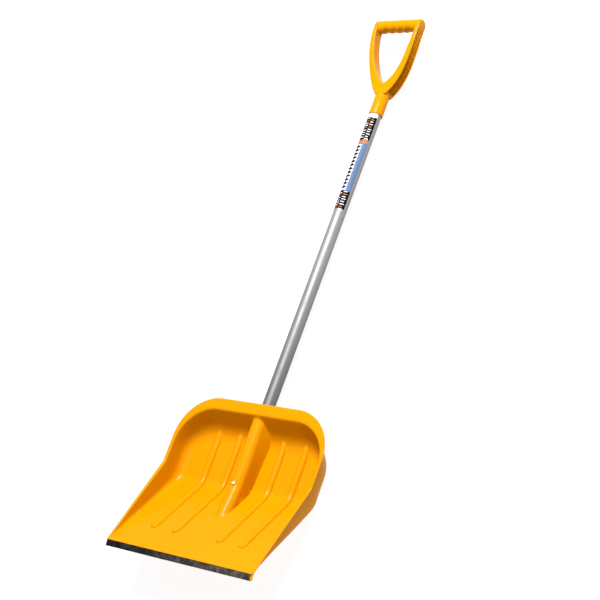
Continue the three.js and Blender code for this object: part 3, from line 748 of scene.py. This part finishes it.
def make_crossbar():
    straight, rise, sides = GRIP_HALF_WIDTH - CROSSBAR_EDGE, grip_rise(CROSSBAR_Y), 64
    end = []
    for t in steps(0, math.pi / 2, 6):
        shrink = CROSSBAR_EDGE * (1 - math.cos(t))
        end.append((straight + CROSSBAR_EDGE * math.sin(t), CROSSBAR_RADIUS - shrink))
    profile = [(-x, r) for x, r in reversed(end)]
    profile += [(x, CROSSBAR_RADIUS) for x in steps(1 - straight, straight - 1, 200)]
    profile += end
    rings = []
    for x, radius in profile:
        ring = []
        for k in range(sides):
            angle = 2 * math.pi * k / sides
            y, z = radius * math.cos(angle), radius * math.sin(angle)
            y += finger_hollow(x) * max(0, -math.cos(angle)) ** FINGER_ROUNDING
            ring.append((x, CROSSBAR_Y + y, rise + z))
        rings.append(ring)
    return loft("crossbar", rings)


def join(objects, name):
    """Joins objects into the first one."""
    work = bmesh.new()
    for obj in objects:
        work.from_mesh(obj.data)
    first = objects[0]
    work.to_mesh(first.data)
    work.free()
    for obj in objects[1:]:
        bpy.data.objects.remove(obj)
    first.name = name
    first.data.name = name
    return first


def make_grip():
    collar = lathe("collar", COLLAR_PROFILE, 96)
    x, y = GATE_PLACE
    mark = lathe("gate_mark", GATE_PROFILE, 24, "Z", (x, y, grip_rise(y) + grip_depth(y) / 2))
    grip = join([make_arm(1), make_arm(-1), make_crossbar(), collar, mark], "grip_moulding")
    shade(grip, LOFT_SHARP)
    return grip


# ---- strip, shaft, label and fixings ----------------------------------------------------------------
def rounded(corners, radii):
    """A closed ring of corners with each one rounded, as far as its sides allow."""
    ring = []
    for i, corner in enumerate(corners):
        before, after = Vector(corners[i - 1]), Vector(corners[(i + 1) % len(corners)])
        here = Vector(corner)
        back, ahead = before - here, after - here
        reach = min(radii[i], FILLET_SHARE * back.length, FILLET_SHARE * ahead.length)
        start = here + back.normalized() * reach
        end = here + ahead.normalized() * reach
        ring += [corner_curve(start, here, end, t) for t in steps(0, 1, 4)]
    return ring


def make_strip():
    """Folded sheet over the lip, its front edge worn unevenly."""
    under = -LIP_THICKNESS - GAP
    outer = under - STRIP_SHEET
    tip = LIP_LENGTH + GAP
    start, under_start, end = STRIP_START, STRIP_UNDER_START, STRIP_LENGTH
    inside = [(start, -STRIP_SHEET), (tip, -STRIP_SHEET), (tip, under), (under_start, under)]
    outside = [(under_start, outer), (end, outer), (end, 0), (start, 0)]
    section = rounded(inside + outside, STRIP_BENDS)
    rings = []
    for x in steps(STRIP_BOX[0][0] / MM, STRIP_BOX[1][0] / MM, 240):
        dent = sum(depth * noise.noise(Vector((x * pace, row, 0))) for depth, pace, row in STRIP_DENTS)
        ring = []
        for along, above in section:
            worn = dent if along > STRIP_LENGTH - STRIP_WORN else 0
            ring.append((x, *on_lip(along + min(worn, 0), above)))
        rings.append(ring)
    return loft("strip_sheet", rings)


def make_rivet(x):
    """Domed rivet under the lip, its upset end buried in the lip."""
    seat = -LIP_THICKNESS - 2 * GAP - STRIP_SHEET
    profile = [(0, seat - RIVET_HEAD_HEIGHT)]
    for t in steps(*RIVET_DOME, 7):
        profile.append((RIVET_HEAD_RADIUS * math.sin(t), seat - RIVET_HEAD_HEIGHT * math.cos(t)))
    profile += [(RIVET_RADIUS, seat), (RIVET_RADIUS, RIVET_END), (0, RIVET_END)]
    rivet = lathe("rivet", profile, 32, "Z")
    moved(rivet, lambda local: (x + local.x, *on_lip(RIVET_ALONG + local.y, local.z)))
    rivet.data.flip_normals()
    return rivet


def make_shaft():
    inner, outer = SHAFT_RADIUS - SHAFT_WALL, SHAFT_RADIUS
    start = [(inner, SHAFT_START), (outer - SHAFT_EDGE, SHAFT_START), (outer, SHAFT_START + SHAFT_EDGE)]
    end = [(outer, SHAFT_END - SHAFT_EDGE), (outer - SHAFT_EDGE, SHAFT_END), (inner, SHAFT_END)]
    return lathe("tube", start + end + start[:1], 128, smooth_angle=TUBE_SHARP)


def bars(distance, across, code, gap):
    """Ink in a black block with thin bars in two columns, one letter of the code for each bar."""
    shifted = distance + (BAR_PITCH / 2 if across > gap else 0)
    row = int(shifted / BAR_PITCH)
    start = BAR_ENDS[0] + BAR_STEPS[0] * (row % 3)
    end = BAR_ENDS[1] - BAR_STEPS[1] * (row % 2)
    between = shifted % BAR_PITCH > BAR_HEIGHT
    if between or across < start or across > end or abs(across - gap) < BAR_GAP:
        return "black"
    return {"w": "white", "o": "orange"}[code[row % len(code)]]


def panel(from_top, across):
    """Ink in the blue field with its white panel and the panel's row of black diamonds."""
    if not PANEL_ACROSS[0] <= across <= PANEL_ACROSS[1] or not PANEL[0] < from_top < PANEL[1]:
        return "blue"
    beside = abs(across - DIAMOND_ACROSS) / DIAMOND_HALF_WIDTH
    beyond = (from_top - DIAMONDS[0]) % DIAMOND_PITCH - DIAMOND_PITCH / 2
    inside = beside + abs(beyond) / DIAMOND_HALF_HEIGHT < 1
    return "black" if inside and DIAMONDS[0] < from_top < DIAMONDS[1] else "white"


def print_ink(along, across):
    """Ink of the label: along from its lower edge in mm, across from its left edge as a fraction."""
    from_top = LABEL_END - LABEL_START - along
    if from_top < PRINT_MARGIN or along < PRINT_HEM:
        return "white"
    if from_top < BLOCK_END:
        return bars(from_top - BLOCK_START, across, BLOCK_BARS, BLOCK_GAP)
    if from_top < BAND_END:
        return "orange" if across > BAND_SPLIT or from_top > BAND_FULL else "black"
    if from_top < FIELD_END:
        return panel(from_top, across)
    return bars(from_top - LOWER_BLOCK_START, across, LOWER_BARS, LOWER_GAP)


def make_label(inks):
    """Thin curved film; each small face takes the ink printed there."""
    inside = SHAFT_RADIUS + GAP
    outside = inside + LABEL_THICKNESS
    left, right = LABEL_MIDDLE + LABEL_HALF_ANGLE, LABEL_MIDDLE - LABEL_HALF_ANGLE
    angles = steps(left, right, LABEL_CELLS[0])
    rows = steps(LABEL_START, LABEL_END, LABEL_CELLS[1])
    points, faces, slots = [], [], []
    names = list(inks)
    for radius in (outside, inside):
        for y in rows:
            points += [(radius * math.cos(a), y, radius * math.sin(a)) for a in angles]
    wide, back = len(angles), len(points) // 2
    for j in range(len(rows) - 1):
        for i in range(wide - 1):
            a = j * wide + i
            faces.append((a, a + 1, a + 1 + wide, a + wide))
            along = (rows[j] + rows[j + 1]) / 2 - LABEL_START
            slots.append(names.index(print_ink(along, (i + 0.5) / (wide - 1))))
            faces.append((a + back, a + wide + back, a + 1 + wide + back, a + 1 + back))
            slots.append(names.index("white"))
    edge = list(range(wide)) + [j * wide + wide - 1 for j in range(1, len(rows))]
    edge += [(len(rows) - 1) * wide + i for i in range(wide - 2, -1, -1)]
    edge += [j * wide for j in range(len(rows) - 2, 0, -1)]
    for k, a in enumerate(edge):
        b = edge[(k + 1) % len(edge)]
        faces.append((b, a, a + back, b + back))
        slots.append(names.index("white"))
    obj = new_object("label_film", points, faces, LOFT_SHARP)
    for ink in inks.values():
        obj.data.materials.append(ink)
    obj.data.polygons.foreach_set("material_index", slots)
    return obj


def make_screw(name, y, seat, length, sign):
    """Pan-head screw with a cross recess, pointing down (sign 1) or up (sign -1) in Z."""
    head, height, side = SCREW_HEAD_RADIUS, SCREW_HEAD_HEIGHT, SCREW_HEAD_SIDE
    profile = [
        (0, -length), (SCREW_TIP_RADIUS, -length), (SCREW_RADIUS, -length + SCREW_TAPER),
        (SCREW_RADIUS, 0), (head - SCREW_HEAD_EDGE, 0), (head, SCREW_HEAD_EDGE),
    ]
    for t in steps(*SCREW_DOME, 8):
        profile.append((head * math.cos(t), side + (height - side) * math.sin(t)))
    profile.append((0, height))
    screw = lathe(name, profile, 48, "Z")
    for turn in (RECESS_TURN, RECESS_TURN + math.pi / 2):
        work = bmesh.new()
        bmesh.ops.create_cube(work, size=1)
        mesh = bpy.data.meshes.new("slot")
        scale = Matrix.Diagonal((*(size * MM for size in RECESS), 1))
        shift = Matrix.Translation(place((0, 0, RECESS_CENTRE)))
        work.transform(shift @ Matrix.Rotation(turn, 4, "Z") @ scale)
        work.to_mesh(mesh)
        work.free()
        tool = bpy.data.objects.new("slot", mesh)
        bpy.context.scene.collection.objects.link(tool)
        boolean(screw, tool, "DIFFERENCE")
    moved(screw, lambda local: (sign * local.x, y + local.y, seat + sign * local.z))
    shade(screw, TURNED_SHARP)
    return screw


# ---- look ------------------------------------------------------------------------------------------
class Nodes:
    """Short calls for building a material's node tree."""

    def __init__(self, name):
        self.material = bpy.data.materials.new(name)
        self.material.use_nodes = True
        self.tree = self.material.node_tree
        self.shader = self.tree.nodes["Principled BSDF"]
        self.place = self.node("ShaderNodeTexCoord").outputs["Object"]

    def node(self, kind, **settings):
        made = self.tree.nodes.new(kind)
        for key, value in settings.items():
            setattr(made, key, value)
        return made

    def put(self, node, values):
        """Links or sets each named input of a node."""
        for key, value in values.items():
            if hasattr(value, "links"):
                self.tree.links.new(value, node.inputs[key])
            else:
                node.inputs[key].default_value = value
        return node

    def set(self, **values):
        """The same for the shader, with _ for each space in an input's name."""
        self.put(self.shader, {key.replace("_", " "): value for key, value in values.items()})

    def along(self, axis):
        """Place along X, Y or Z, in metres."""
        return self.put(self.node("ShaderNodeSeparateXYZ"), {0: self.place}).outputs[axis]

    def scaled(self, scale):
        """Place with its axes scaled, which stretches a pattern."""
        values = {"Vector": self.place, "Scale": scale}
        return self.put(self.node("ShaderNodeMapping"), values).outputs[0]

    def noise(self, scale, detail=4, roughness=0.5, vector=None, distortion=0):
        values = {"Scale": scale, "Detail": detail, "Roughness": roughness, "Distortion": distortion}
        values["Vector"] = vector or self.place
        return self.put(self.node("ShaderNodeTexNoise"), values).outputs["Fac"]

    def math(self, operation, *values):
        made = self.node("ShaderNodeMath", operation=operation)
        return self.put(made, dict(enumerate(values))).outputs[0]

    def ramp(self, factor, low, high, to_low=0.0, to_high=1.0):
        made = self.node("ShaderNodeMapRange", interpolation_type="SMOOTHSTEP")
        values = {"Value": factor, "From Min": low, "From Max": high}
        values.update({"To Min": to_low, "To Max": to_high})
        return self.put(made, values).outputs[0]

    def blend(self, factor, a, b):
        made = self.node("ShaderNodeMix", data_type="RGBA")
        return self.put(made, {0: factor, 6: a, 7: b}).outputs[2]

    def bump(self, height, strength, distance, normal=None):
        values = {"Height": height, "Strength": strength, "Distance": distance}
        if normal is not None:
            values["Normal"] = normal
        return self.put(self.node("ShaderNodeBump"), values).outputs[0]


def yellow_plastic():
    """Moulded plastic: a little cloudy and uneven, with faint scuffs across its width."""
    n = Nodes("yellow_plastic")
    cloud = n.noise(9, 3)
    orange_peel = n.noise(420, 2)
    scuffs = n.ramp(n.noise(14, 6, 0.65, n.scaled((9, 60, 60))), 0.62, 0.74)
    colour = n.blend(cloud, (0.535, 0.197, 0.0, 1), (0.572, 0.217, 0.0, 1))
    pale = (0.65, 0.29, 0.01, 1)
    n.set(
        Base_Color=n.blend(n.math("MULTIPLY", scuffs, 0.06), colour, pale),
        Roughness=n.math("MULTIPLY_ADD", scuffs, 0.12, n.ramp(n.noise(60, 4), 0.3, 0.7, 0.17, 0.25)),
        Normal=n.bump(orange_peel, 0.10, 0.0004, n.bump(n.noise(30, 2), 0.10, 0.002)),
    )
    n.shader.inputs["IOR"].default_value = 1.46
    n.shader.inputs["Specular IOR Level"].default_value = 0.10
    return n.material


def aluminium():
    """Satin tube with drawing marks along it, a darker grey towards the scoop."""
    n = Nodes("anodised_aluminium")
    streaks = n.noise(30, 5, 0.6, n.scaled((28, 1.2, 28)))
    smudge = n.ramp(n.noise(22, 4, 0.55), 0.45, 0.75)
    # base colour runs from a darker grey at the scoop end to a lighter grey towards the grip
    toward_grip = n.ramp(n.along("Y"), -0.40, 0.15)
    dull = n.blend(streaks, (0.10, 0.10, 0.099, 1), (0.15, 0.149, 0.147, 1))
    bright = n.blend(streaks, (0.22, 0.22, 0.22, 1), (0.285, 0.284, 0.282, 1))
    n.set(
        Base_Color=n.blend(toward_grip, dull, bright),
        Metallic=0.45,
        Roughness=n.math("MULTIPLY_ADD", smudge, 0.08, n.ramp(streaks, 0.3, 0.7, 0.46, 0.54)),
        Normal=n.bump(streaks, 0.06, 0.0004),
    )
    n.shader.inputs["Specular Tint"].default_value = (0.40, 0.37, 0.34, 1)
    return n.material


def worn_steel():
    """Mottled dark sheet, browner and more worn towards the right, with bluish patches."""
    n = Nodes("worn_steel")
    mottle = n.noise(70, 7, 0.66)
    patches = n.noise(26, 3, 0.5, None, 0.6)
    grit = n.noise(600, 3, 0.7)
    wear = n.ramp(n.along("X"), -0.19, 0.19)
    marks = n.ramp(mottle, 0.35, 0.7)
    dark = n.blend(marks, (0.002, 0.002, 0.002, 1), (0.013, 0.0125, 0.012, 1))
    brown = n.blend(marks, (0.024, 0.019, 0.016, 1), (0.10, 0.080, 0.066, 1))
    bluish = n.blend(wear, (0.016, 0.019, 0.022, 1), (0.12, 0.116, 0.116, 1))
    n.set(
        Base_Color=n.blend(n.ramp(patches, 0.54, 0.70), n.blend(wear, dark, brown), bluish),
        Metallic=0.12,
        Roughness=n.ramp(n.math("ADD", mottle, grit), 0.7, 1.3, 0.45, 0.75),
        Normal=n.bump(grit, 0.25, 0.0003, n.bump(mottle, 0.35, 0.0008)),
    )
    n.shader.inputs["Specular IOR Level"].default_value = 0.1
    return n.material


def zinc():
    """Plated steel of the screws and rivets."""
    n = Nodes("zinc_plate")
    cloud = n.noise(120, 4)
    n.set(
        Base_Color=n.blend(cloud, (0.70, 0.66, 0.56, 1), (0.86, 0.83, 0.74, 1)),
        Metallic=1.0,
        Roughness=n.ramp(cloud, 0.3, 0.7, 0.25, 0.42),
        Normal=n.bump(n.noise(900, 2), 0.15, 0.0002),
    )
    return n.material


def ink(name, light, dark):
    """Printed film: the ink's tone drifts a little, and fine scratches dull its gloss."""
    n = Nodes(name)
    drift = n.noise(40, 4)
    scratches = n.ramp(n.noise(60, 5, 0.7, n.scaled((40, 4, 40))), 0.6, 0.75)
    n.set(
        Base_Color=n.blend(drift, dark, light),
        Roughness=n.math("MULTIPLY_ADD", scratches, 0.2, 0.38),
        Normal=n.bump(drift, 0.05, 0.0005),
    )
    n.shader.inputs["Specular IOR Level"].default_value = 0.04
    return n.material


def pale_floor():
    """Plain ground that glows almost white, so that only a faint shadow shows on it."""
    n = Nodes("pale_floor")
    n.set(
        Base_Color=n.blend(n.noise(3, 2), (0.14, 0.14, 0.14, 1), (0.15, 0.15, 0.15, 1)),
        Roughness=0.9,
    )
    n.shader.inputs["Specular IOR Level"].default_value = 0.1
    n.shader.inputs["Emission Color"].default_value = (1, 1, 1, 1)
    n.shader.inputs["Emission Strength"].default_value = 0.92
    return n.material


# ---- scene -----------------------------------------------------------------------------------------
# the photograph's camera, in the frame and in metres
CAMERA_PLACE = (1.8348, -1.0359, 2.2763)
CAMERA_FORWARD = (-0.6017, 0.3235, -0.7302)
CAMERA_UP = (-0.0748, 0.8875, 0.4548)
CAMERA_LENS = 85.8
CAMERA_SENSOR = 36
CAMERA_REACH = 50

FLOOR_HALF = 12
FLOOR_DROP = 0.002  # the floor lies this far below the part
KEY_PLACE = (0.7, 1.9, 3.9)
KEY_AIM = (0, -0.1, 0)
KEY_SIZE = 2.0
KEY_POWER = 470
AMBIENT = 0.34


def finish_piece(obj, material, slot, *nodes):
    obj.data.materials.clear()
    obj.data.materials.append(material)
    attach(obj, "root")
    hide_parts(*nodes)


def add_camera():
    camera = bpy.data.objects.new("camera", bpy.data.cameras.new("camera"))
    bpy.context.scene.collection.objects.link(camera)
    camera.data.lens = CAMERA_LENS
    camera.data.sensor_width = CAMERA_SENSOR
    camera.data.clip_end = CAMERA_REACH
    forward = Vector(CAMERA_FORWARD).normalized()
    right = forward.cross(Vector(CAMERA_UP)).normalized()
    turn = Matrix((right, right.cross(forward), -forward)).transposed()
    camera.matrix_world = Matrix.Translation(CAMERA_PLACE) @ turn.to_4x4()
    bpy.context.scene.camera = camera


def add_studio():
    mesh = bpy.data.meshes.new("floor")
    corners = [(-1, -1), (1, -1), (1, 1), (-1, 1)]
    mesh.from_pydata([(x * FLOOR_HALF, y * FLOOR_HALF, 0) for x, y in corners], [], [(0, 1, 2, 3)])
    floor = bpy.data.objects.new("floor", mesh)
    floor.location.z = -FLOOR_DROP
    mesh.materials.append(pale_floor())
    bpy.context.scene.collection.objects.link(floor)

    key = bpy.data.objects.new("key", bpy.data.lights.new("key", "AREA"))
    key.data.shape = "DISK"
    key.data.size = KEY_SIZE
    key.data.energy = KEY_POWER
    key.location = KEY_PLACE
    key.rotation_euler = (Vector(KEY_AIM) - Vector(KEY_PLACE)).to_track_quat("-Z", "Y").to_euler()
    bpy.context.scene.collection.objects.link(key)

    world = bpy.data.worlds.new("studio")
    world.use_nodes = True
    background = world.node_tree.nodes["Background"]
    background.inputs["Color"].default_value = (1, 1, 1, 1)
    background.inputs["Strength"].default_value = AMBIENT
    bpy.context.scene.world = world
    bpy.context.scene.view_settings.view_transform = "Standard"


add_camera()
add_studio()
yellow = yellow_plastic()
steel = zinc()
inks = {
    "white": ink("white_film", (0.66, 0.66, 0.67, 1), (0.58, 0.58, 0.60, 1)),
    "black": ink("black_ink", (0.003, 0.003, 0.0035, 1), (0.001, 0.001, 0.0012, 1)),
    "orange": ink("orange_ink", (0.40, 0.150, 0.055, 1), (0.32, 0.115, 0.040, 1)),
    "blue": ink("blue_ink", (0.105, 0.165, 0.29, 1), (0.060, 0.105, 0.21, 1)),
}
finish_piece(make_scoop(), yellow, "yellow_plastic", "scoop")
finish_piece(make_strip(), worn_steel(), "worn_steel", "wear_strip")
for i, rivet_x in enumerate(RIVET_X):
    finish_piece(make_rivet(rivet_x), steel, "zinc_steel", f"strip_rivet_{i + 1}")
finish_piece(make_shaft(), aluminium(), "aluminium", "shaft")
finish_piece(make_grip(), yellow, "yellow_plastic", "grip")
label = make_label(inks)
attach(label, "root")
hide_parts("shaft_label")
socket_screw = make_screw("socket_pan_screw", SCREW_Y, HUMP_CREST + GAP, SCREW_LENGTH, 1)
finish_piece(socket_screw, steel, "zinc_steel", "socket_screw")
grip_screw = make_screw("grip_pan_screw", GRIP_SCREW_Y, -COLLAR_RADIUS - GAP, GRIP_SCREW_LENGTH, -1)
finish_piece(grip_screw, steel, "zinc_steel", "grip_screw")
